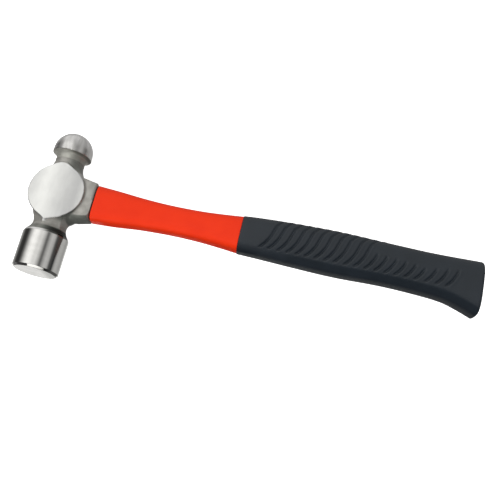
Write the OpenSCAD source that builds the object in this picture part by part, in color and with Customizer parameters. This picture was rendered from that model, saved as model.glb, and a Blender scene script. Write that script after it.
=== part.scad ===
// Ball peen hammer, 24 ounce class: a forged head on a fibreglass handle with a moulded grip.
// Frame: the centre of the striking face is the origin, +Y runs up the head to the ball,
// +X runs along the handle to the butt and +Z leaves one cheek. Millimetres.

/* [Poll and neck] */
// Diameter of the round poll
poll_d = 35; // [34:0.5:36]
// Length of the full-diameter part of the poll, bevel included
poll_length = 28.5; // [26.2:0.1:29.2]
// Width of the bevel round the striking face
face_bevel = 1.6; // [0.5:0.1:2.5]
// Distance from the striking face to the neck's narrowest place
neck_y = 36.6; // [35.2:0.1:38.2]
// Height of the neck's two ridges above the middle plane
neck_ridge = 12.2; // [11:0.1:12.4]

/* [Eye and cheeks] */
// Distance from the striking face to the middle of the eye
eye_y = 62.2; // [60.2:0.1:64.2]
// Diameter of the round cheeks
cheek_d = 42.4; // [41:0.2:44]
// Width of the head across the two flat cheeks
cheek_width = 25; // [24:0.5:27]
// Distance from the middle of the eye to a cheek's blunt tip toward the ball
cheek_tip = 24.4; // [23.8:0.1:25.2]
// Distance from the middle of the eye to a cheek's point toward the face
cheek_point = 22.9; // [22.4:0.1:24]
// Height of the oval eye, along the head
eye_height = 24; // [22:0.5:25]
// Width of the oval eye, from cheek to cheek
eye_width = 14.5; // [13:0.5:15]

/* [Skirt] */
// Distance from the middle of the eye to the mouth of the skirt
skirt_x = 29.2; // [27:0.1:31]
// Height of the skirt at its mouth
skirt_height = 29.2; // [28:0.1:31]
// Width of the skirt, from side to side
skirt_width = 19; // [18.5:0.5:20]

/* [Ball] */
// Diameter of the ball
ball_d = 30.4; // [29:0.2:31]
// Distance from the middle of the eye to the centre of the ball
ball_rise = 38.6; // [37:0.1:40]
// Diameter of the sharp lower rim of the ball
rim_d = 30.8; // [30:0.2:32]
// Diameter of the round neck under the ball
peen_neck_d = 22.4; // [20:0.2:24]

/* [Handle] */
// Distance from the middle of the eye to the front edge of the grip
grip_x = 144.5; // [140:0.5:150]
// Distance from the middle of the eye to the flat of the butt
butt_x = 329.6; // [325:0.1:335]
// Thickness of the seal between the skirt and the jacket
seal_thickness = 0.6; // [0.4:0.1:1.2]
// Height of the core rod's flat oval section
core_height = 17; // [14:0.5:18]
// Width of the core rod's flat oval section
core_width = 10.5; // [8:0.5:11.5]

/* [Hidden] */
$fn = 64;

poll_r = poll_d / 2;
cheek_r = cheek_d / 2;
cheek_z = cheek_width / 2;
ball_y = eye_y + ball_rise;
rim_y = ball_y - 3.8;
peen_neck_y = rim_y - 6.1;
peen_neck_r = peen_neck_d / 2;
far = 60;

core_start = -16.5;
core_end = 316;
jacket_start = skirt_x + seal_thickness;
jacket_end = core_end + 3;
seal_inset = 0.6;
seat_height = 22.4;
seat_width = 16.6;

// Facets of the poll neck above the middle plane: angle from +Z, rounding radius to the cheek.
// Each is placed to pass through the ridge or at its own distance from the axis.
ridge_x = -2;
neck_side = 12.9;
neck_stock = 15.4;
neck_facets = [
    [20, facet_reach(20), 9],
    [-32, facet_reach(-32), 9],
    [68, neck_side - 0.3, 14],
    [-76, neck_side - 0.5, 14]
];
function facet_reach(angle) = ridge_x * sin(angle) + neck_ridge * cos(angle);

// Handle stations: x, reach toward the ball, reach toward the face, half width.
jacket_stations = [
    [jacket_start, 14.3, 14.5, 9.4],
    [48, 13.2, 13.5, 9],
    [66, 11.8, 11.8, 8.5],
    [82, 11.1, 11, 8.2],
    [97, 11, 10.7, 8.2],
    [113, 11.4, 11, 8.6],
    [129, 12.5, 12, 9.4],
    [grip_x, 14, 13.4, 10.2]
];
grip_stations = [
    [grip_x, 14.8, 14.1, 10.9],
    [160, 16, 14.4, 11.8],
    [188, 17.3, 15.3, 12.8],
    [220, 17.9, 16, 13.4],
    [256, 17.1, 15, 13.2],
    [284, 16.6, 15.8, 13.2],
    [302, 16.8, 17.3, 13.6],
    [314, 17.2, 20.5, 14],
    [326, 17.6, 24.9, 14.6]
];
section_points = 40;
jacket_power = 4;
grip_power = 3.2;

// Catmull-Rom blend of four values at t from 0 to 1
function blend(a, b, c, d, t) =
    b + 0.5 * t * (c - a + t * (2 * a - 5 * b + 4 * c - d + t * (3 * (b - c) + d - a)));

// Row of a station table, held at the table's ends
function row(table, i) = table[max(0, min(len(table) - 1, i))];

// Smooth station between rows i and i + 1 of a table
function station(table, i, t) =
    [for (k = [0:3]) blend(row(table, i - 1)[k], row(table, i)[k], row(table, i + 1)[k],
                           row(table, i + 2)[k], t)];

// Every station of a table with extra steps between its rows
function stations(table, steps) = concat(
    [for (i = [0:len(table) - 2]) for (s = [0:steps - 1]) station(table, i, s / steps)],
    [table[len(table) - 1]]);

// Superellipse ring of one station, drawn in by an inset
function signed_power(v, p) = sign(v) * pow(abs(v), p);
function ring(s, power, inset = 0) =
    let (half_height = (s[1] + s[2]) / 2 - inset, middle = eye_y + (s[1] - s[2]) / 2)
    [for (k = [0:section_points - 1])
        let (turn = 360 * k / section_points)
        [s[0],
         middle + half_height * signed_power(cos(turn), 2 / power),
         (s[3] - inset) * signed_power(sin(turn), 2 / power)]];

// Closed solid through a list of rings
module loft(rings) {
    count = len(rings);
    n = section_points;
    sides = [for (i = [0:count - 2]) for (k = [0:n - 1])
        [i * n + k, (i + 1) * n + k, (i + 1) * n + (k + 1) % n, i * n + (k + 1) % n]];
    first_cap = [for (k = [0:n - 1]) k];
    last_cap = [for (k = [0:n - 1]) count * n - 1 - k];
    polyhedron([for (r = rings) for (p = r) p], concat(sides, [first_cap, last_cap]), convexity = 6);
}

// Solid of revolution about the head's axis from a profile of radius against y
module turned() {
    rotate([-90, 0, 0]) rotate_extrude() children();
}

// Flat oval bar along X, centred on the eye
module oval_bar(x0, x1, height, width) {
    reach = (height - width) / 2;
    translate([x0, eye_y, 0]) rotate([90, 0, 90]) linear_extrude(x1 - x0) {
        square([2 * reach, width], center = true);
        for (side = [-1, 1]) translate([side * reach, 0]) circle(d = width);
    }
}

// Round poll with its bevelled face and the cone behind it
module poll() {
    turned() polygon([
        [0, 0],
        [poll_r - face_bevel, 0],
        [poll_r, face_bevel],
        [poll_r, poll_length],
        [poll_r - 0.8, poll_length + 1.5],
        [neck_side + 0.4, neck_y - 2.6],
        [neck_side - 2.5, neck_y - 0.6],
        [0, neck_y - 0.6]
    ]);
}

// Outside of one neck facet: straight over the neck and a round hollow up to the cheek
module facet_cutter(angle, reach, hollow) {
    rotate([0, angle, 0]) translate([-far / 2, 0, 0]) rotate([90, 0, 90]) linear_extrude(far)
        difference() {
            translate([neck_y - far, reach]) square([far + hollow, far]);
            difference() {
                translate([neck_y, reach - 1]) square([hollow + 1, hollow + 1]);
                translate([neck_y, reach + hollow]) circle(hollow);
            }
        }
}

// Faceted neck between the poll and the cheeks
module poll_neck() {
    difference() {
        translate([0, poll_length, 0]) rotate([-90, 0, 0])
            cylinder(h = eye_y - poll_length, r = neck_stock);
        for (side = [0, 1]) mirror([0, 0, side]) for (f = neck_facets) facet_cutter(f[0], f[1], f[2]);
    }
}

// Round neck under the ball, flared into the eye
module peen_neck() {
    flare = 14;
    turned() difference() {
        translate([0, eye_y]) square([15.4, peen_neck_y - eye_y]);
        translate([peen_neck_r + flare, peen_neck_y]) circle(flare);
    }
}

// Ball with its sharp rim and the round hollow beneath it
module ball() {
    hollow = 5;
    hollow_y = rim_y + 0.3 - hollow;
    translate([0, ball_y, 0]) sphere(d = ball_d);
    turned() difference() {
        polygon([
            [0, peen_neck_y - 1],
            [peen_neck_r + 0.01, peen_neck_y - 1],
            [peen_neck_r + 0.01, hollow_y],
            [rim_d / 2, hollow_y],
            [rim_d / 2 - 0.1, rim_y + 1.4],
            [ball_d / 2 - 0.05, ball_y],
            [0, ball_y]
        ]);
        translate([peen_neck_r + hollow, hollow_y]) circle(hollow);
    }
}

// Outline of a cheek: a circle, fuller toward the ball, with a blunt tip there and a point opposite
module cheek_outline() {
    fuller = 0.2;
    shoulder_x = 0.43 * cheek_r;
    shoulder_y = 0.98 * cheek_r;
    blunt_x = 2;
    point_x = -1.5;
    flank_x = 6;
    flank_y = 0.95 * cheek_r;
    translate([0, eye_y]) {
        circle(cheek_r);
        translate([0.4, 1.3]) circle(cheek_r + fuller);
        polygon([
            [shoulder_x, shoulder_y],
            [2.6 * blunt_x, cheek_tip - 1.3],
            [blunt_x, cheek_tip],
            [-blunt_x, cheek_tip],
            [-2.6 * blunt_x, cheek_tip - 1.4],
            [-shoulder_x, shoulder_y - 0.2],
            [point_x - flank_x, -flank_y + 0.4],
            [point_x, -cheek_point],
            [point_x + flank_x, -flank_y - 0.3]
        ]);
    }
}

// Plan of the skirt: straight toward the ball, hollowed toward the poll neck
module skirt_outline() {
    mouth = skirt_height / 2;
    hollow = 8;
    translate([0, eye_y]) difference() {
        polygon([
            [0, 18.2],
            [14, 17.4],
            [skirt_x, mouth],
            [skirt_x, -mouth],
            [16.5, -19.4],
            [11, -25],
            [0, -25]
        ]);
        translate([12.5 + hollow, -26]) circle(hollow);
    }
}

// Cross-section of the skirt: rounded toward the ball, bevelled toward the face
module skirt_section() {
    corner = 4;
    side = skirt_width / 2;
    top = skirt_height / 2 + 5;
    bevel_start = 0.3 - skirt_height / 2;
    polygon([
        [bevel_start, side],
        [bevel_start - side, 0],
        [bevel_start, -side],
        [top - corner, -side],
        [top, corner - side],
        [top, side - corner],
        [top - corner, side]
    ]);
    for (z = [-1, 1]) translate([top - corner, z * (side - corner)]) circle(corner);
}

// Skirt that leads the handle into the eye
module skirt() {
    intersection() {
        translate([0, 0, -far / 2]) linear_extrude(far) skirt_outline();
        translate([0, eye_y, 0]) rotate([90, 0, 90]) linear_extrude(skirt_x) skirt_section();
    }
}

module head() {
    color("silver") difference() {
        union() {
            poll();
            ball();
            intersection() {
                translate([-far / 2, 0, -cheek_z]) cube([far, 2 * eye_y, cheek_width]);
                union() {
                    poll_neck();
                    peen_neck();
                    translate([0, 0, -cheek_z]) linear_extrude(cheek_width) cheek_outline();
                    skirt();
                }
            }
        }
        oval_bar(-far / 2, far, eye_height, eye_width);
    }
}

module core_bar(x0, x1) {
    oval_bar(x0, x1, core_height, core_width);
}

module eye_resin() {
    color("tan") difference() {
        oval_bar(core_start, skirt_x, eye_height, eye_width);
        core_bar(core_start - 1, skirt_x + 1);
    }
}

module handle_core() {
    color("wheat") core_bar(core_start, core_end);
}

module mouth_seal() {
    front = jacket_stations[0];
    color("black") difference() {
        loft([
            ring([skirt_x, front[1], front[2], front[3]], jacket_power, seal_inset),
            ring(front, jacket_power, seal_inset)
        ]);
        core_bar(skirt_x - 1, jacket_start + 1);
    }
}

// Slimmer rear of the jacket, which the grip is moulded round
module grip_seat() {
    oval_bar(grip_x, jacket_end, seat_height, seat_width);
}

module handle_jacket() {
    color("orangered") difference() {
        union() {
            loft([for (s = stations(jacket_stations, 4)) ring(s, jacket_power)]);
            grip_seat();
        }
        core_bar(jacket_start - 1, core_end);
    }
}

// Rings that close the butt: a rounded edge and a shallow dome
function butt_rings() =
    let (last = grip_stations[len(grip_stations) - 1], edge = 2.2, rise = butt_x - last[0] - edge)
    concat(
        [for (a = [15:15:90])
            ring([last[0] + edge * sin(a), last[1], last[2], last[3]], grip_power,
                 edge * (1 - cos(a)))],
        [for (t = [0.35, 0.65, 0.9])
            ring([last[0] + edge + rise * t * (2 - t), last[1], last[2], last[3]], grip_power,
                 edge + (last[3] - edge) * t)]);

module grip() {
    color("dimgray") difference() {
        loft(concat([for (s = stations(grip_stations, 4)) ring(s, grip_power)], butt_rings()));
        grip_seat();
    }
}

head();
eye_resin();
handle_core();
mouth_seal();
handle_jacket();
grip();
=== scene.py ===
"""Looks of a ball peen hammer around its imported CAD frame: head, resin, core, seal, jacket and grip."""

import math

import bpy
import numpy as np
from mathutils import Matrix, Vector


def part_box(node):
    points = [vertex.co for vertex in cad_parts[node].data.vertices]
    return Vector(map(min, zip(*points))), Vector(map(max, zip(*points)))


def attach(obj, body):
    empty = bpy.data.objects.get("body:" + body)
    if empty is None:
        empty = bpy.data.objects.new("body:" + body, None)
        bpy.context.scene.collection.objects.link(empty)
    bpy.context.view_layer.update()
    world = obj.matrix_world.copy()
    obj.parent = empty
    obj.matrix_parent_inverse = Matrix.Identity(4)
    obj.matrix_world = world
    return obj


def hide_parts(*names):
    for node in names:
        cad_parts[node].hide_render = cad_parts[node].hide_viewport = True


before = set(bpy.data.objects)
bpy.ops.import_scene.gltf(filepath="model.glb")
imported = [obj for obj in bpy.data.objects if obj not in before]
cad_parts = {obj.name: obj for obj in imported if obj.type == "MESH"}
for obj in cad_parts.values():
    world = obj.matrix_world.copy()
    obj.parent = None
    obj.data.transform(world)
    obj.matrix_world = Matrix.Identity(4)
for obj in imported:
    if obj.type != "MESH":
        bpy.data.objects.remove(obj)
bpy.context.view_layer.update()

MM = 0.001
SCENE = bpy.context.scene


def box_mm(node):
    """A CAD node's lowest and highest corners in millimetres."""
    low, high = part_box(node)
    return np.array(low) / MM, np.array(high) / MM


# ---------------------------------------------------------------- sizes read from the frame
HEAD_LO, HEAD_HI = box_mm("head")
EYE_LO, EYE_HI = box_mm("eye_resin")
CORE_LO, CORE_HI = box_mm("handle_core")
SEAL_LO, SEAL_HI = box_mm("mouth_seal")
JACKET_END = box_mm("handle_jacket")[1][0]
GRIP_X = box_mm("grip")[0][0]

EYE_Y = (EYE_LO[1] + EYE_HI[1]) / 2
POLL_R = HEAD_HI[2]
CHEEK_R = -HEAD_LO[0]
SKIRT_X = HEAD_HI[0]

# Sizes of the head that its box doesn't hold: radii, and heights along the head's axis
CHEEK_Z = 12.5
NECK_STOCK_R = 15.4
NECK_Y = EYE_Y - 25.6
POLL_TOP = EYE_Y - 33.7
BALL_R = 15.2
BALL_Y = HEAD_HI[1] - BALL_R
RIM_R = 15.4
RIM_Y = BALL_Y - 3.8
PEEN_NECK_R = 11.2
PEEN_NECK_Y = RIM_Y - 6.1


# ---------------------------------------------------------------- mesh helpers
def new_piece(name, points_mm, faces, nodes, materials):
    """A mesh piece in the row frame that rides on the root body and stands for CAD nodes."""
    mesh = bpy.data.meshes.new(name)
    mesh.from_pydata((np.asarray(points_mm, float) * MM).tolist(), [], faces)
    mesh.validate()
    mesh.update()
    piece = bpy.data.objects.new(name, mesh)
    SCENE.collection.objects.link(piece)
    for m in materials:
        mesh.materials.append(m)
    mesh.shade_smooth()
    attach(piece, "root")
    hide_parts(*nodes)
    return piece


def skin(rings, cap_ends=True):
    """Points and quads through rings of equal length; the ends are fanned shut or joined to each other."""
    rings = np.asarray(rings, float)
    count, n = rings.shape[:2]
    points = rings.reshape(-1, 3)
    k = np.arange(n)
    nxt = (k + 1) % n
    faces = []
    last = count - 1 if cap_ends else count
    for i in range(last):
        a, b = i * n, ((i + 1) % count) * n
        faces.extend(zip((a + k).tolist(), (a + nxt).tolist(), (b + nxt).tolist(), (b + k).tolist()))
    if cap_ends:
        points = np.vstack([points, rings[0].mean(0), rings[-1].mean(0)])
        first, final = count * n, count * n + 1
        faces.extend((first, int(q), int(p)) for p, q in zip(k, nxt))
        base = (count - 1) * n
        faces.extend((final, base + int(p), base + int(q)) for p, q in zip(k, nxt))
    return points, faces


# ---------------------------------------------------------------- head as a distance field
def outline_distance(points, u, v):
    """Signed distance to a closed outline in the plane, below zero inside."""
    best = np.full(u.shape, 1e9, np.float32)
    inside = np.zeros(u.shape, bool)
    for (ax, ay), (bx, by) in zip(points, points[1:] + points[:1]):
        ex, ey = bx - ax, by - ay
        px, py = u - ax, v - ay
        t = np.clip((px * ex + py * ey) / (ex * ex + ey * ey), 0, 1)
        best = np.minimum(best, (px - ex * t) ** 2 + (py - ey * t) ** 2)
        if ay != by:
            inside ^= ((ay > v) != (by > v)) & (u < ex * (v - ay) / ey + ax)
    return np.where(inside, -1, 1) * np.sqrt(best)


def join(a, b, r):
    """Union of two fields with a hollow fillet of radius r between them."""
    u, v = np.maximum(r - a, 0), np.maximum(r - b, 0)
    return np.maximum(r, np.minimum(a, b)) - np.sqrt(u * u + v * v)


def meet(a, b, r):
    """Intersection of two fields with its edge rounded to radius r."""
    return -join(-a, -b, r)


def poll_field(radius, y):
    """Round poll: striking face, bevel, barrel, shoulder and the cone behind it."""
    edge, bevel = 0.45, 1.6
    cone_r, cone_y = 13.3, NECK_Y - 2.6
    top_r, top_y = 10.4, NECK_Y - 0.6
    profile = [(-1, edge), (POLL_R - bevel - edge * 0.4, edge), (POLL_R - edge, bevel + edge * 0.4),
               (POLL_R - edge, POLL_TOP - edge * 0.6), (POLL_R - 0.8 - edge, POLL_TOP + 1.5 - edge * 0.4),
               (cone_r - edge, cone_y), (top_r, top_y), (-1, top_y)]
    return outline_distance(profile, radius, y) - edge


def facet_field(angle, reach, hollow, x, y, z):
    """One facet of the poll neck, with its round hollow up to the cheek."""
    s = x * math.sin(math.radians(angle)) + z * math.cos(math.radians(angle))
    up = y - NECK_Y
    over = s - reach - hollow
    bowl = np.where(over < 0, hollow - np.hypot(up, over), hollow - up)
    return np.where(up < 0, s - reach, bowl)


def neck_field(x, y, z):
    """Poll neck: round stock cut by two front facets that share a ridge, and by two side facets."""
    ridge_x, ridge_z = -2.0, 12.2
    front_hollow, side_hollow = 9, 14

    def through_ridge(angle):
        return ridge_x * math.sin(math.radians(angle)) + ridge_z * math.cos(math.radians(angle))

    facets = ((20, through_ridge(20), front_hollow), (-32, through_ridge(-32), front_hollow),
              (68, 12.6, side_hollow), (-76, 12.4, side_hollow))
    solid = np.hypot(x, z) - NECK_STOCK_R
    for angle, reach, hollow in facets:
        solid = meet(solid, facet_field(angle, reach, hollow, x, y, z), 0.5)
    return np.maximum(solid, np.maximum(POLL_TOP + 1 - y, y - EYE_Y))


def cheek_plan(x, v):
    """Outline of the cheeks: two near circles, a blunt tip toward the ball and a point toward the poll."""
    shoulder_x, shoulder_y, flank_y = 0.43 * CHEEK_R, 0.98 * CHEEK_R, 0.95 * CHEEK_R
    edge = 0.8
    tips = [(shoulder_x, shoulder_y - edge), (5.2, 23.1 - edge), (2, 24.4 - edge), (-2, 24.4 - edge),
            (-5.2, 23.0 - edge), (-shoulder_x, shoulder_y - 0.2 - edge), (-7.5, -flank_y + 0.4 + edge),
            (-1.5, -22.9 + edge), (4.5, -flank_y - 0.3 + edge)]
    rounds = join(np.hypot(x, v) - CHEEK_R, np.hypot(x - 0.4, v - 1.3) - CHEEK_R - 0.2, 0.5)
    return np.minimum(rounds, outline_distance(tips, x, v) - edge)


def skirt_field(x, v, z):
    """Skirt that takes the handle, with a hollow and bevelled edges toward the poll."""
    mouth, half_width = 14.6, 9.5
    plan = outline_distance([(0, 18.2), (14, 17.4), (SKIRT_X, mouth), (SKIRT_X, -mouth),
                             (16.5, -19.4), (11, -25), (0, -25)], x, v)
    plan = np.maximum(plan, 8 - np.hypot(x - 20.5, v + 26))
    bevel = (z - v - half_width - mouth + 0.3) / math.sqrt(2)
    body = meet(meet(plan, bevel, 4.5), z - half_width, np.where(v > 0, 2.2, 0.5))
    return meet(body, x - SKIRT_X, 0.7)


def peen_neck_field(radius, y):
    """Waisted round neck below the ball."""
    flare = 14.0
    bowl = flare - np.hypot(radius - PEEN_NECK_R - flare, y - PEEN_NECK_Y)
    return np.maximum(np.maximum(radius - NECK_STOCK_R, bowl), np.maximum(EYE_Y - y, y - PEEN_NECK_Y - 1.5))


def ball_field(radius, y):
    """Ball, its straight rim and the round hollow under the rim."""
    hollow, edge = 5.0, 0.2
    hollow_y = RIM_Y + 0.3 - hollow
    under = [(-1, PEEN_NECK_Y - 1), (PEEN_NECK_R - edge, PEEN_NECK_Y - 1), (PEEN_NECK_R - edge, hollow_y),
             (RIM_R - edge, hollow_y), (RIM_R - 0.1 - edge, RIM_Y + 1.4), (BALL_R - 0.05 - edge, BALL_Y),
             (-1, BALL_Y)]
    crown = np.hypot(radius, y - BALL_Y) - BALL_R
    body = np.minimum(crown, outline_distance(under, radius, y) - edge)
    return meet(body, hollow - np.hypot(radius - PEEN_NECK_R - hollow, y - hollow_y), 0.2)


def eye_field(v, z):
    """The eye's flat oval."""
    half, width = (EYE_HI[1] - EYE_LO[1]) / 2, EYE_HI[2]
    return np.hypot(np.maximum(np.abs(v) - (half - width), 0), z) - width


def head_field(x, y, z):
    """Signed distance to the forged head, in millimetres, below zero inside."""
    z = np.abs(z)
    v = y - EYE_Y
    radius = np.hypot(x, z)
    necks = np.minimum(neck_field(x, y, z), peen_neck_field(radius, y))
    body = join(join(cheek_plan(x, v), necks, 1.2), skirt_field(x, v, z), 1.6)
    side = z - CHEEK_Z + x * x / 720
    body = np.maximum(np.maximum(body, side), (body + side + 0.5) / math.sqrt(2))
    body = np.minimum(body, ball_field(radius, y))
    body = join(body, poll_field(radius, y), 2.0)
    return meet(body, -eye_field(v, z), 0.6)


def gradient(field, p, h=0.02):
    """The field's slope at each point, by steps of h."""
    out = np.empty_like(p)
    for axis in range(3):
        step = np.zeros(3)
        step[axis] = h
        a, b = p + step, p - step
        out[:, axis] = (field(*a.T) - field(*b.T)) / (2 * h)
    return out


def surface_net(field, low, high, step):
    """Quad mesh of a field's zero surface: one vertex in each crossed cell, moved onto the surface."""
    axes = [np.arange(a, b + step, step) for a, b in zip(low, high)]
    f = field(*np.meshgrid(*axes, indexing="ij"))
    inside = f < 0
    cells = np.zeros([n - 1 for n in f.shape], np.int8)
    for i in (0, 1):
        for j in (0, 1):
            for k in (0, 1):
                cells += inside[i:i + cells.shape[0], j:j + cells.shape[1], k:k + cells.shape[2]]
    active = (cells > 0) & (cells < 8)
    index = np.argwhere(active)
    number = np.full(cells.shape, -1)
    number[active] = np.arange(len(index))
    total, hits = np.zeros((len(index), 3)), np.zeros(len(index))
    for axis in range(3):
        unit = np.eye(3, dtype=int)[axis]
        others = [a for a in range(3) if a != axis]
        for i in (0, 1):
            for j in (0, 1):
                corner = index.copy()
                corner[:, others[0]] += i
                corner[:, others[1]] += j
                a, b = f[tuple(corner.T)], f[tuple((corner + unit).T)]
                crossed = (a < 0) != (b < 0)
                t = np.where(crossed, a / np.where(a == b, 1, a - b), 0)
                total += np.where(crossed[:, None], corner + t[:, None] * unit, 0)
                hits += crossed
    points = np.array(low) + step * total / hits[:, None]
    for _ in range(4):
        g = gradient(field, points)
        d = field(*points.T) / np.maximum((g * g).sum(1), 0.25)
        points -= g * np.clip(d, -0.3 * step, 0.3 * step)[:, None]
    faces = []
    for axis in range(3):
        others = [a for a in range(3) if a != axis]
        first = [slice(1, -1)] * 3
        first[axis] = slice(0, -1)
        second = list(first)
        second[axis] = slice(1, None)
        a, b = inside[tuple(first)], inside[tuple(second)]
        edge = np.argwhere(a != b)
        outward = a[tuple(edge.T)]
        edge[:, others[0]] += 1
        edge[:, others[1]] += 1
        quad = []
        for i, j in ((0, 0), (1, 0), (1, 1), (0, 1)):
            cell = edge.copy()
            cell[:, others[0]] -= i
            cell[:, others[1]] -= j
            quad.append(number[tuple(cell.T)])
        quad = np.array(quad).T
        turn = outward if axis != 1 else ~outward
        quad[~turn] = quad[~turn][:, ::-1]
        faces.append(quad)
    return points, np.vstack(faces)


# ---------------------------------------------------------------- procedural materials
class Paint:
    """One node-based material; its textures are laid out in millimetres of the row frame."""

    def __init__(self, name, **inputs):
        self.material = bpy.data.materials.new(name)
        self.material.use_nodes = True
        self.tree = self.material.node_tree
        self.shader = self.tree.nodes["Principled BSDF"]
        coordinates = self.node("ShaderNodeTexCoord").outputs["Object"]
        self.place = self.node("ShaderNodeVectorMath", {0: coordinates, "Scale": 1 / MM},
                               operation="SCALE").outputs[0]
        self.set(**inputs)

    def node(self, kind, inputs=None, **settings):
        node = self.tree.nodes.new(kind)
        for key, value in settings.items():
            setattr(node, key, value)
        for key, value in (inputs or {}).items():
            self.fill(node.inputs[key], value)
        return node

    def fill(self, socket, value):
        if isinstance(value, bpy.types.NodeSocket):
            self.tree.links.new(value, socket)
        else:
            socket.default_value = value

    def set(self, **inputs):
        for key, value in inputs.items():
            if isinstance(value, tuple) and len(value) == 3:
                value = (*value, 1.0)
            self.fill(self.shader.inputs[key.replace("_", " ")], value)

    def stretched(self, stretch):
        """The position with each axis divided by a feature size in millimetres."""
        return self.node("ShaderNodeVectorMath", {0: self.place, 1: tuple(1 / s for s in stretch)},
                         operation="MULTIPLY").outputs[0]

    def noise(self, size, detail=2.0, roughness=0.5, distortion=0.0):
        stretch = size if isinstance(size, tuple) else (size,) * 3
        return self.node("ShaderNodeTexNoise", {"Vector": self.stretched(stretch), "Scale": 1.0,
                                                "Detail": detail, "Roughness": roughness,
                                                "Distortion": distortion}).outputs["Fac"]

    def spread(self, value, low, high, from_low=0.3, from_high=0.7):
        """The value moved from one range to another and held inside it."""
        return self.node("ShaderNodeMapRange", {"Value": value, "From Min": from_low, "From Max": from_high,
                                                "To Min": low, "To Max": high}).outputs["Result"]

    def blend(self, factor, a, b):
        node = self.node("ShaderNodeMix", data_type="RGBA")
        for socket, value in ((node.inputs[0], factor), (node.inputs[6], a), (node.inputs[7], b)):
            self.fill(socket, (*value, 1.0) if isinstance(value, tuple) and len(value) == 3 else value)
        return node.outputs[2]

    def with_painted_shade(self, bare, shade_tint):
        """Painted shade: bare metal turns to a darker tint and then to near black as the mesh's per-vertex
        shade value rises.
        """
        painted_shade = self.node("ShaderNodeAttribute", attribute_name="painted_shade").outputs["Fac"]
        partly = self.blend(self.spread(painted_shade, 0, 1, 0, 0.5), bare, shade_tint)
        # Near-black painted shade where the per-vertex shade value is high
        return self.blend(self.spread(painted_shade, 0, 1, 0.5, 1), partly, (0.016, 0.016, 0.014))

    def maths(self, operation, a, b):
        return self.node("ShaderNodeMath", {0: a, 1: b}, operation=operation).outputs[0]

    def bump(self, *layers):
        """Stacks (height, depth in mm) layers into the shader's normal."""
        normal = None
        for height, depth in layers:
            inputs = {"Height": height, "Distance": depth * MM, "Strength": 1.0}
            if normal is not None:
                inputs["Normal"] = normal
            normal = self.node("ShaderNodeBump", inputs).outputs["Normal"]
        self.fill(self.shader.inputs["Normal"], normal)


def poll_steel():
    p = Paint("poll_steel", Metallic=1.0, Anisotropic=0.9)
    turned = p.noise((40, 0.3, 40), 3)
    smear = p.noise((9, 5, 9), 3)
    lathe = p.node("ShaderNodeCombineXYZ", {0: 0.05, 1: 1.0, 2: 0.03}).outputs[0]
    bright = p.blend(p.spread(smear, 0, 1), (0.80, 0.79, 0.77), (0.72, 0.71, 0.69))
    # Painted shade on the cone behind the poll: a darker tint and near black, by the per-vertex shade value
    p.set(Base_Color=p.with_painted_shade(bright, (0.40, 0.40, 0.38)), Roughness=p.spread(smear, 0.06, 0.10),
          Tangent=lathe)
    p.bump((turned, 0.006))
    return p.material


def cheek_steel():
    p = Paint("cheek_steel", Metallic=1.0)
    grain = p.noise((0.3, 7, 0.3), 3)
    cloud = p.noise((5, 12, 5), 3)
    across = p.node("ShaderNodeSeparateXYZ", {0: p.place}).outputs[0]
    # Painted light and shade: the cheek is brightest a little toward the far side, darker toward the far
    # rim and toward the handle, and lighter again at the rim by the handle, over a random cloudy tone
    middle = p.spread(across, 0.0, 1.0, -8, 13)
    far_rim = p.spread(across, 0.65, 0.0, -20, -9)
    handle_rim = p.spread(across, 0.0, -0.45, 15, 20)
    painted_light = p.maths("ADD", p.maths("ADD", middle, far_rim), handle_rim)
    painted_light_and_tone = p.maths("ADD", painted_light, p.spread(cloud, -0.10, 0.14))
    p.set(Base_Color=p.blend(painted_light_and_tone, (0.88, 0.88, 0.855), (0.56, 0.56, 0.555)),
          Roughness=p.spread(grain, 0.28, 0.40))
    p.bump((grain, 0.012))
    return p.material


def ball_steel():
    p = Paint("ball_steel", Metallic=1.0)
    x, y, z = p.node("ShaderNodeSeparateXYZ", {0: p.place}).outputs
    around = p.node("ShaderNodeCombineXYZ", {0: x, 2: z}).outputs[0]
    around = p.node("ShaderNodeVectorMath", {0: around}, operation="NORMALIZE").outputs[0]
    climb = p.node("ShaderNodeCombineXYZ", {1: p.maths("MULTIPLY", y, 0.012)}).outputs[0]
    lines = p.node("ShaderNodeVectorMath", {0: around, 1: climb}, operation="ADD").outputs[0]
    streak = p.node("ShaderNodeTexNoise", {"Vector": lines, "Scale": 5.0, "Detail": 2.0}).outputs["Fac"]
    fine = p.noise(0.35, 3)
    p.set(Base_Color=p.blend(p.spread(streak, 0, 1, 0.34, 0.66), (0.82, 0.81, 0.79), (0.64, 0.63, 0.61)),
          Roughness=p.spread(streak, 0.24, 0.38))
    p.bump((fine, 0.01), (streak, 0.04))
    return p.material


def hollow_steel():
    p = Paint("hollow_steel", Metallic=0.7)
    fine = p.noise(0.5, 3)
    cloud = p.noise(5, 3)
    bare = p.blend(p.spread(cloud, 0, 1), (0.62, 0.615, 0.56), (0.52, 0.515, 0.47))
    # Painted shade in the crease under the rim and on the ball's neck toward the handle, by the per-vertex
    # shade value
    p.set(Base_Color=p.with_painted_shade(bare, (0.28, 0.28, 0.25)), Roughness=p.spread(cloud, 0.46, 0.56))
    p.bump((fine, 0.03))
    return p.material


def forged_steel():
    p = Paint("forged_steel", Metallic=0.65)
    grit = p.noise(0.5, 3, 0.6)
    cloud = p.noise(6, 4)
    bare = p.blend(p.spread(cloud, 0, 1), (0.50, 0.487, 0.455), (0.38, 0.37, 0.34))
    # Darker tint for the painted shade under the skirt and on the neck behind the poll
    shade_tint = p.blend(p.spread(cloud, 0, 1), (0.235, 0.245, 0.222), (0.175, 0.182, 0.165))
    p.set(Base_Color=p.with_painted_shade(bare, shade_tint), Roughness=p.spread(cloud, 0.42, 0.58))
    p.bump((grit, 0.05), (p.noise(2.6, 2), 0.06))
    return p.material


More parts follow.
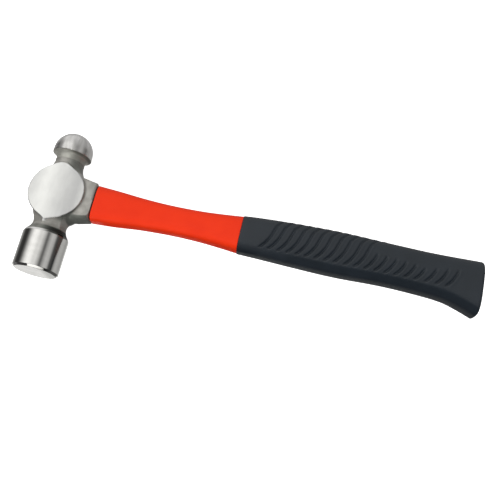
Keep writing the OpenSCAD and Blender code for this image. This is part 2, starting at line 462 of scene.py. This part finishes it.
def jacket_plastic():
    p = Paint("jacket_plastic", Specular_IOR_Level=0.16)
    fine = p.noise(0.45, 2)
    cloud = p.noise(18, 2)
    p.set(Base_Color=p.blend(p.spread(cloud, 0, 1), (0.93, 0.040, 0.006), (0.88, 0.034, 0.005)),
          Roughness=p.spread(fine, 0.30, 0.38))
    p.bump((fine, 0.012))
    return p.material


def grip_rubber():
    p = Paint("grip_rubber", Specular_IOR_Level=0.5)
    grain = p.noise(0.4, 3, 0.6)
    cloud = p.noise(14, 3)
    p.set(Base_Color=p.blend(p.spread(cloud, 0, 1), (0.0145, 0.0205, 0.028), (0.0115, 0.0165, 0.0225)),
          Roughness=p.spread(grain, 0.42, 0.56))
    p.bump((grain, 0.03))
    return p.material


def seal_rubber():
    p = Paint("seal_rubber", Base_Color=(0.012, 0.011, 0.010))
    grain = p.noise(0.3, 2)
    p.set(Roughness=p.spread(grain, 0.6, 0.75))
    p.bump((grain, 0.02))
    return p.material


def cast_resin():
    p = Paint("cast_resin", Specular_IOR_Level=0.5)
    swirl = p.noise(2.2, 3, 0.5, 0.6)
    p.set(Base_Color=p.blend(p.spread(swirl, 0, 1), (0.060, 0.042, 0.022), (0.030, 0.022, 0.013)),
          Roughness=p.spread(swirl, 0.18, 0.3))
    p.bump((swirl, 0.12))
    return p.material


def fibre_rod():
    p = Paint("fibre_rod")
    strands = p.noise((30, 0.22, 0.22), 2)
    ends = p.noise(0.35, 2)
    both = p.blend(0.5, strands, ends)
    p.set(Base_Color=p.blend(p.spread(both, 0, 1), (0.72, 0.62, 0.38), (0.45, 0.36, 0.19)),
          Roughness=p.spread(ends, 0.5, 0.75))
    p.bump((both, 0.05))
    return p.material


# ---------------------------------------------------------------- head
def smooth(value, start, end):
    """Soft step from 0 at start to 1 at end."""
    t = np.clip((value - start) / (end - start), 0, 1)
    return t * t * (3 - 2 * t)


def painted_shade_mask(points, normals):
    """Painted shade as a per-vertex value: under the skirt, on the ball's neck and in the crease under its
    rim toward the handle, near black on the cone and shoulder behind the poll.
    """
    x, y = points.T[:2]
    under = 0.5 * smooth(-normals[:, 1], 0.25, 0.6) * smooth(x, 5, 11) * smooth(y, EYE_Y - 4, EYE_Y - 10)
    behind = smooth(y, POLL_TOP - 0.4, POLL_TOP + 0.6) * smooth(y, NECK_Y - 1.4, NECK_Y - 3.2)
    cone = behind * smooth(y, POLL_TOP + 1, POLL_TOP + 2.5) * (0.3 + 0.65 * smooth(x, -4, 7))
    shoulder = behind * 0.9 * smooth(x, 1, 7)
    peen = 0.36 * smooth(x, 0, 7) * smooth(y, EYE_Y + 19, EYE_Y + 23) * smooth(y, EYE_Y + 36, EYE_Y + 32)
    crease = 0.6 * smooth(x, -3, 6) * smooth(y, RIM_Y - 2.2, RIM_Y - 0.4)
    return np.maximum.reduce([under, cone, shoulder, peen, crease])


# Grid cell of the head's distance field, and how far the grid reaches past the head
HEAD_CELL = 0.48
HEAD_MARGIN = 1.3


def build_head():
    """The forging, with one material for each finish and painted shade kept in a per-vertex value."""
    points, quads = surface_net(head_field, HEAD_LO - HEAD_MARGIN, HEAD_HI + HEAD_MARGIN, HEAD_CELL)
    points = np.clip(points, HEAD_LO, HEAD_HI)
    materials = [forged_steel(), poll_steel(), cheek_steel(), ball_steel(), hollow_steel()]
    forged, polished, ground, brushed, blasted = range(len(materials))
    piece = new_piece("head_forging", points, quads.tolist(), ["head"], materials)
    normals = gradient(head_field, points)
    normals /= np.linalg.norm(normals, axis=1)[:, None]
    middle = points[quads].mean(1)
    across = normals[quads].mean(1)
    height = middle[:, 1]
    kind = np.full(len(quads), forged)
    kind[height < POLL_TOP + 1.6] = polished
    kind[(np.abs(middle[:, 2]) > CHEEK_Z - 0.8) & (np.abs(height - EYE_Y) < 25)
         & (np.abs(across[:, 2]) > 0.5)] = ground
    kind[height > RIM_Y - 5.5] = blasted
    kind[height > RIM_Y + 0.2] = brushed
    piece.data.polygons.foreach_set("material_index", kind)
    # Per-vertex painted shade, read by the forged, polished and blasted steel
    painted_shade = piece.data.attributes.new("painted_shade", "FLOAT", "POINT")
    painted_shade.data.foreach_set("value", painted_shade_mask(points, normals).astype(np.float32))
    piece.data.normals_split_custom_set_from_vertices(normals.tolist())


# ---------------------------------------------------------------- handle
# Points in one whole ring of a lofted CAD node
RING_POINTS = 40


def stations_of(node, last_x):
    """Rows of x, highest y, lowest y and half width, read from a lofted CAD node's rings."""
    co = np.array([v.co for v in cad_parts[node].data.vertices]) / MM
    co = np.unique(co.round(3), axis=0)
    rows = []
    for x in np.unique(co[:, 0].round(2)):
        ring = co[np.abs(co[:, 0] - x) < 0.02]
        if x <= last_x and (len(ring) == RING_POINTS or not rows or x == round(last_x, 2)):
            rows.append((x, ring[:, 1].max(), ring[:, 1].min(), ring[:, 2].max()))
    return np.array(rows)


def smooth_rows(rows, xs):
    """Smooth cubic values of the station rows at the given x."""
    slopes = np.gradient(rows, rows[:, 0], axis=0)
    i = np.clip(np.searchsorted(rows[:, 0], xs, side="right") - 1, 0, len(rows) - 2)
    h = (rows[i + 1, 0] - rows[i, 0])[:, None]
    t = ((xs - rows[i, 0])[:, None]) / h
    out = (2 * t**3 - 3 * t**2 + 1) * rows[i] + (t**3 - 2 * t**2 + t) * slopes[i] * h
    out += (3 * t**2 - 2 * t**3) * rows[i + 1] + (t**3 - t**2) * slopes[i + 1] * h
    out[:, 0] = xs
    return out


def section(row, power, turns, inset=0.0):
    """Ring of a rounded section at one station, with equal steps of direction."""
    x, top, bottom, half_width = row
    tall = (top - bottom) / 2 - inset
    wide = half_width - inset
    c, s = np.cos(turns), np.sin(turns)
    reach = (np.abs(c) ** power + np.abs(s) ** power) ** (-1 / power)
    return np.stack([np.full(len(turns), x), (top + bottom) / 2 + tall * reach * c, wide * reach * s], 1)


def oval(x, height, width, turns):
    """Ring of a flat oval, matched in direction to the section rings."""
    straight = (height - width) / 2
    c, s = np.cos(turns), np.sin(turns)
    big = np.array([height / 2 * c, width / 2 * s]).T
    y = np.clip(big[:, 0], -straight, straight)
    d = np.stack([big[:, 0] - y, big[:, 1]], 1)
    d = np.where(np.linalg.norm(d, axis=1)[:, None] < 1e-6, np.stack([0 * c, s], 1), d)
    d = d / np.linalg.norm(d, axis=1)[:, None] * width / 2
    return np.stack([np.full(len(turns), x), EYE_Y + y + d[:, 0], d[:, 1]], 1)


def ring_turns(n):
    return np.arange(n) / n * 2 * math.pi


# Height and width of the core rod's section, and of the jacket's rear inside the grip
CORE_SIZE = (CORE_HI[1] - CORE_LO[1], CORE_HI[2] - CORE_LO[2])
SEAT_SIZE = (22.4, 16.6)
# How square the sections are: the jacket with its seal, and the grip
JACKET_POWER = 4
GRIP_POWER = 3.2
# Turns through which a front edge is rolled
EDGE_ROLL = [math.radians(a) for a in (0, 30, 60)]


def build_jacket():
    """The jacket as one closed tube, with a rolled front edge and a rear seat inside the grip."""
    turns = ring_turns(160)
    rows = stations_of("handle_jacket", GRIP_X)
    x0, x1 = rows[0, 0], rows[-1, 0]
    edge = 0.5
    rings = [oval(x0, *CORE_SIZE, turns)]
    for roll in EDGE_ROLL:
        row = (x0 + edge * (1 - math.cos(roll)), *rows[0, 1:])
        rings.append(section(row, JACKET_POWER, turns, edge * (1 - math.sin(roll))))
    for row in smooth_rows(rows, np.linspace(x0 + edge, x1, 230)):
        rings.append(section(row, JACKET_POWER, turns))
    for x in np.linspace(x1, JACKET_END, 30):
        rings.append(oval(x, *SEAT_SIZE, turns))
    for x in np.linspace(JACKET_END, x0, 60):
        if x < CORE_HI[0]:
            rings.append(oval(x, *CORE_SIZE, turns))
    points, faces = skin(rings[:-1], cap_ends=False)
    new_piece("jacket_skin", points, faces, ["handle_jacket"], [jacket_plastic()])


def build_seal():
    """The seal as a thin ring with a rounded outer edge."""
    turns = ring_turns(120)
    row = stations_of("mouth_seal", SEAL_HI[0])[0]
    rings = [oval(SEAL_LO[0], *CORE_SIZE, turns)]
    for t in np.linspace(0, 1, 9):
        x = SEAL_LO[0] + t * (SEAL_HI[0] - SEAL_LO[0])
        rings.append(section((x, *row[1:]), JACKET_POWER, turns, 0.5 * (2 * t - 1) ** 4))
    rings.append(oval(SEAL_HI[0], *CORE_SIZE, turns))
    points, faces = skin(rings, cap_ends=False)
    new_piece("seal_ring", points, faces, ["mouth_seal"], [seal_rubber()])


# The grip's pressed lower edges: how far they start up the side, and their foot from the middle
BEVEL_RISE = 5.5
BEVEL_FOOT = 5.5
BEVEL_SOFTNESS = 0.6
# Where along the handle the pressed edges grow in, and where the butt's end rounding starts
BEVEL_GROWS = (140, 200)
BUTT_X = 326

# How far a groove leans toward the butt, by the distance up the side from the middle plane
GROOVE_CURVE = np.array([(-12, -9.2), (-9.5, -6.6), (-5, -2.9), (0, 0),
                         (5, 1.7), (10, 3.4), (15, 7.0), (22, 14)])
GROOVE_HALF = 1.35
GROOVE_DEPTH = 1.15
# Raised lip on the butt side of each groove: height, distance from the groove's middle, half width
LIP_HEIGHT, LIP_AWAY, LIP_HALF = 0.16, 2.0, 1.3
# Middle x of the long grooves, and middle x with the upper end of the short ones
LONG_GROOVES = (167.7, 174.3, 181.5, 188.4, 195.4, 202.4, 209.6, 216.9, 224.0, 232.0, 239.2)
SHORT_GROOVES = ((247.0, 3.5), (254.4, 3.0), (261.8, 2.5), (269.2, 2.0), (276.7, 1.5),
                 (284.2, 0.0), (292.1, 1.5), (300.0, 3.0), (307.5, 3.5))
GROOVES = [(x, -9.4, 21) for x in LONG_GROOVES] + [(x, -9.2, top) for x, top in SHORT_GROOVES]


def groove_depth(x, s):
    """Depth of the grip's grooves at x and a distance s up the side."""
    depth = np.zeros(x.shape)
    lean = np.interp(s, GROOVE_CURVE[:, 0], GROOVE_CURVE[:, 1])
    slope = np.gradient(GROOVE_CURVE[:, 1], GROOVE_CURVE[:, 0])
    steep = np.interp(s, GROOVE_CURVE[:, 0], slope)
    for middle, low, high in GROOVES:
        away = (x - middle - lean) / np.sqrt(1 + steep**2)
        end = np.clip((s - low) / 1.2 + 0.5, 0, 1) * np.clip((high - s) / 2.5 + 0.5, 0, 1)
        end *= 0.95 + 0.5 * np.exp(-((s + 5) / 4.5) ** 2)
        wall = np.clip(1 - np.abs(away) / GROOVE_HALF, 0, 1)
        lip = np.clip(1 - np.abs(away - LIP_AWAY) / LIP_HALF, 0, 1)
        cut = GROOVE_DEPTH * end * wall * wall * (3 - 2 * wall)
        raised = depth - LIP_HEIGHT * end * lip * (depth < 0.02)
        depth = np.where(cut > 0.02, np.maximum(depth, cut), raised)
    return depth


def bevelled(ring, row):
    """A grip ring with its two lower edges pressed flat, more so toward the butt."""
    x, top, bottom, half_width = row
    tall, middle = (top - bottom) / 2, (top + bottom) / 2
    start, foot = bottom + BEVEL_RISE, BEVEL_FOOT
    side = half_width * (1 - abs((start - middle) / tall) ** GRIP_POWER) ** (1 / GRIP_POWER)
    normal = np.array([foot - side, BEVEL_RISE]) / math.hypot(side - foot, BEVEL_RISE)
    y, z = ring[:, 1], ring[:, 2]
    over = (y - start) * normal[0] + (np.abs(z) - side) * normal[1]
    over = np.maximum(over, 0)
    press = over ** 2 / (over + BEVEL_SOFTNESS) * float(smooth(x, *BEVEL_GROWS))
    out = ring.copy()
    out[:, 1] -= normal[0] * press
    out[:, 2] -= normal[1] * press * np.sign(z)
    return out


def build_grip():
    """The grip from its inner seat, over the rolled front edge and the grooved side, to the butt."""
    turns = ring_turns(200)
    rows = stations_of("grip", math.inf)
    on_side = rows[:, 0] <= BUTT_X + 0.01
    side, butt = rows[on_side], rows[~on_side]
    x0 = side[0, 0]
    lip = 0.6
    rings = [oval(x, *SEAT_SIZE, turns) for x in np.linspace(JACKET_END, x0, 40)]
    for roll in EDGE_ROLL:
        row = smooth_rows(side, np.array([x0 + lip * (1 - math.cos(roll))]))[0]
        rings.append(section(row, GRIP_POWER, turns, lip * (1 - math.sin(roll))))
    start = len(rings)
    for row in smooth_rows(side, np.linspace(x0 + lip, BUTT_X, 400)):
        rings.append(bevelled(section(row, GRIP_POWER, turns), row))
    end = len(rings)
    for row in butt:
        inset = side[-1, 3] - row[3]
        end_row = (row[0], side[-1, 1], side[-1, 2], side[-1, 3])
        rings.append(bevelled(section(end_row, GRIP_POWER, turns, inset), end_row))
    rings = np.array(rings)
    body = rings[start:end]
    chord = np.linalg.norm(np.roll(body, -1, axis=1) - body, axis=2)
    run = np.cumsum(chord, axis=1) - chord
    middle = (body[:, :, 1].max(1) + body[:, :, 1].min(1)) / 2
    quarter = len(turns) // 4
    along = run[:, [quarter]] - run + (middle - EYE_Y)[:, None]
    half = len(turns) // 2
    mirror = (-np.arange(len(turns))) % len(turns)
    along[:, half + 1:] = along[:, mirror[half + 1:]]
    depth = groove_depth(body[:, :, 0], along)
    inward = np.stack([0 * body[:, :, 0], middle[:, None] - body[:, :, 1], -body[:, :, 2]], 2)
    tangent = np.roll(body, -1, axis=1) - np.roll(body, 1, axis=1)
    normal = np.stack([0 * tangent[:, :, 0], -tangent[:, :, 2], tangent[:, :, 1]], 2)
    normal *= np.sign((normal * inward).sum(2))[:, :, None]
    normal /= np.linalg.norm(normal, axis=2)[:, :, None]
    rings[start:end] = body + normal * depth[:, :, None]
    points, faces = skin(rings)
    new_piece("grip_skin", points, faces, ["grip"], [grip_rubber()])


build_head()
build_jacket()
build_seal()
build_grip()
for node, finish in (("eye_resin", cast_resin()), ("handle_core", fibre_rod())):
    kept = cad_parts[node]
    kept.data.materials.clear()
    kept.data.materials.append(finish)


# ---------------------------------------------------------------- floor, light and camera
def build_floor():
    """A white floor that sweeps up into a white dome; only the camera sees it."""
    lowest, reach, spokes, lifts = HEAD_LO[2] * MM, 4.0, 48, 12
    points = [(0, 0, lowest)]
    for k in range(lifts):
        lift = k / lifts * math.pi / 2
        for turn in np.arange(spokes) / spokes * 2 * math.pi:
            points.append((reach * math.cos(lift) * math.cos(turn), reach * math.cos(lift) * math.sin(turn),
                           lowest + reach * math.sin(lift)))
    points.append((0, 0, lowest + reach))
    faces = [(0, 1 + k, 1 + (k + 1) % spokes) for k in range(spokes)]
    for ring in range(lifts - 1):
        a, b = 1 + ring * spokes, 1 + (ring + 1) * spokes
        faces += [(a + (k + 1) % spokes, a + k, b + k, b + (k + 1) % spokes) for k in range(spokes)]
    last = 1 + (lifts - 1) * spokes
    faces += [(last + (k + 1) % spokes, last + k, len(points) - 1) for k in range(spokes)]
    mesh = bpy.data.meshes.new("floor")
    mesh.from_pydata(points, [], faces)
    floor = bpy.data.objects.new("floor", mesh)
    SCENE.collection.objects.link(floor)
    p = Paint("floor_white", Base_Color=(0.9, 0.9, 0.9), Roughness=0.9)
    p.set(Emission_Color=(1.0, 1.0, 1.0), Emission_Strength=1.0)
    mesh.materials.append(p.material)
    floor.visible_glossy = False
    floor.visible_diffuse = False
    floor.visible_shadow = False


# Tent radiance by the turn about the head's axis, in degrees from overhead toward the butt
TENT_RING = [
    (-180, 0.90), (-162, 0.90), (-146, 0.75), (-130, 0.42), (-116, 0.22), (-104, 0.06), (-92, 0.04),
    (-80, 0.04), (-69, 0.16), (-57, 0.56), (-45, 1.02), (-33, 1.20), (-21, 1.12), (-8, 0.87), (4, 0.85),
    (16, 0.53), (27, 0.15), (32, 0.17), (41, 0.40), (52, 0.57), (65, 0.48), (76, 0.10), (88, 0.045),
    (96, 0.12), (106, 0.40), (116, 0.50), (128, 0.48), (142, 0.40), (156, 0.36), (168, 0.60), (180, 0.90),
]


# Tent levels on the floor beyond the ball, at the face end, and in the patch below the face end
FAR_FLOOR_LEVEL, FACE_END_LEVEL, PATCH_LEVEL = 0.45, 0.05, 0.16
# Levels beyond the ball, from the head's far side to the handle's side
BALL_END_LEVELS = (0.84, 0.50)


def build_world():
    """A light tent: bands round the head's axis, with its own level at both ends and on the far floor."""
    world = bpy.data.worlds.new("tent")
    SCENE.world = world
    world.use_nodes = True
    tree = world.node_tree

    def node(kind, inputs, **settings):
        made = tree.nodes.new(kind)
        for key, value in settings.items():
            setattr(made, key, value)
        for key, value in inputs.items():
            if isinstance(value, bpy.types.NodeSocket):
                tree.links.new(value, made.inputs[key])
            else:
                made.inputs[key].default_value = value
        return made

    direction = node("ShaderNodeTexCoord", {}).outputs["Generated"]
    x, y, z = node("ShaderNodeSeparateXYZ", {0: direction}).outputs

    def step(value, start, end):
        return node("ShaderNodeMapRange", {"Value": value, "From Min": start, "From Max": end},
                    interpolation_type="SMOOTHSTEP").outputs["Result"]

    turn = node("ShaderNodeMath", {0: x, 1: z}, operation="ARCTAN2").outputs[0]
    share = node("ShaderNodeMapRange", {"Value": turn, "From Min": -math.pi, "From Max": math.pi})
    ramp = node("ShaderNodeValToRGB", {"Fac": share.outputs["Result"]})
    elements = ramp.color_ramp.elements
    elements.remove(elements[-1])
    for i, (degrees, level) in enumerate(TENT_RING):
        place = (degrees + 180) / 360
        element = elements[0] if i == 0 else elements.new(place)
        element.position = place
        element.color = (level, level, level * 0.985, 1.0)
    colour = ramp.outputs["Color"]

    def paint(colour, factor, level):
        level = (level, level, level, 1.0) if isinstance(level, float) else level
        mixed = node("ShaderNodeMix", {0: factor, 6: colour, 7: level}, data_type="RGBA")
        return mixed.outputs[2]

    back = step(y, 0.30, 0.50)
    low = step(z, -0.10, -0.35)
    both = node("ShaderNodeMath", {0: back, 1: low}, operation="MULTIPLY").outputs[0]
    pole = node("ShaderNodeMapRange", {"Value": x, "From Min": -0.35, "From Max": 0.30,
                                       "To Min": BALL_END_LEVELS[0], "To Max": BALL_END_LEVELS[1]})
    colour = paint(colour, step(y, 0.40, 0.80), pole.outputs["Result"])
    colour = paint(colour, both, FAR_FLOOR_LEVEL)
    front = node("ShaderNodeMath", {0: y, 1: -1.0}, operation="MULTIPLY").outputs[0]
    colour = paint(colour, step(front, 0.36, 0.60), FACE_END_LEVEL)
    under = node("ShaderNodeMath", {0: step(front, 0.215, 0.27), 1: step(z, -0.2, -0.5)},
                 operation="MULTIPLY")
    colour = paint(colour, under.outputs[0], PATCH_LEVEL)
    tree.links.new(colour, tree.nodes["Background"].inputs["Color"])


def build_panel(name, corners, colour, strength):
    """A flat studio panel that only mirrors and light rays meet."""
    mesh = bpy.data.meshes.new(name)
    mesh.from_pydata(corners, [], [(0, 1, 2, 3)])
    panel = bpy.data.objects.new(name, mesh)
    SCENE.collection.objects.link(panel)
    p = Paint(name + "_cloth", Base_Color=colour, Roughness=0.9)
    p.set(Emission_Color=colour, Emission_Strength=strength)
    mesh.materials.append(p.material)
    panel.visible_camera = False
    panel.visible_shadow = False
    return panel


def build_panels():
    """A bright card beyond the striking face, and a dark flag that keeps the jacket out of the poll."""
    y = (EYE_Y - 214.0) * MM
    build_panel("card", [(-0.07, y, 0.2), (0.07, y, 0.2), (0.07, y, -0.02), (-0.07, y, -0.02)],
                (0.9, 0.9, 0.882), 0.945)
    y = (EYE_Y - 14.0) * MM
    flag = build_panel("flag", [(0.033, y, -0.02), (0.16, y, -0.02), (0.16, y, 0.02), (0.033, y, 0.02)],
                       (0.04, 0.03, 0.027), 1.0)
    flag.visible_diffuse = False


def build_key():
    """Soft key from above the face end; polished metal shows only the tent."""
    light = bpy.data.lights.new("key", "SUN")
    light.energy = 1.55
    light.angle = 0.6
    key = bpy.data.objects.new("key", light)
    SCENE.collection.objects.link(key)
    toward = Vector((-0.15, -0.65, 0.74))
    key.rotation_euler = toward.to_track_quat("Z", "Y").to_euler()
    key.visible_glossy = False


def build_camera():
    """Camera above the hammer and toward its face end, placed from the eye's middle."""
    camera = bpy.data.objects.new("camera", bpy.data.cameras.new("camera"))
    SCENE.collection.objects.link(camera)
    camera.data.sensor_width = 36.0
    camera.data.lens = 50.4
    camera.data.clip_start = 0.01
    camera.data.clip_end = 100.0
    from_eye = Vector((0.18513, -0.16851, 0.50767))
    eye = Vector((0, EYE_Y * MM, 0))
    right = Vector((0.9762, 0.2167, 0.0085)).normalized()
    back = Vector((0.0579, -0.2981, 0.9528))
    back = (back - right * back.dot(right)).normalized()
    up = back.cross(right)
    turn = Matrix((right, up, back)).transposed()
    camera.matrix_world = Matrix.Translation(eye + from_eye) @ turn.to_4x4()
    SCENE.camera = camera


build_floor()
build_world()
build_panels()
build_key()
build_camera()
SCENE.view_settings.view_transform = "Standard"
SCENE.view_settings.look = "None"
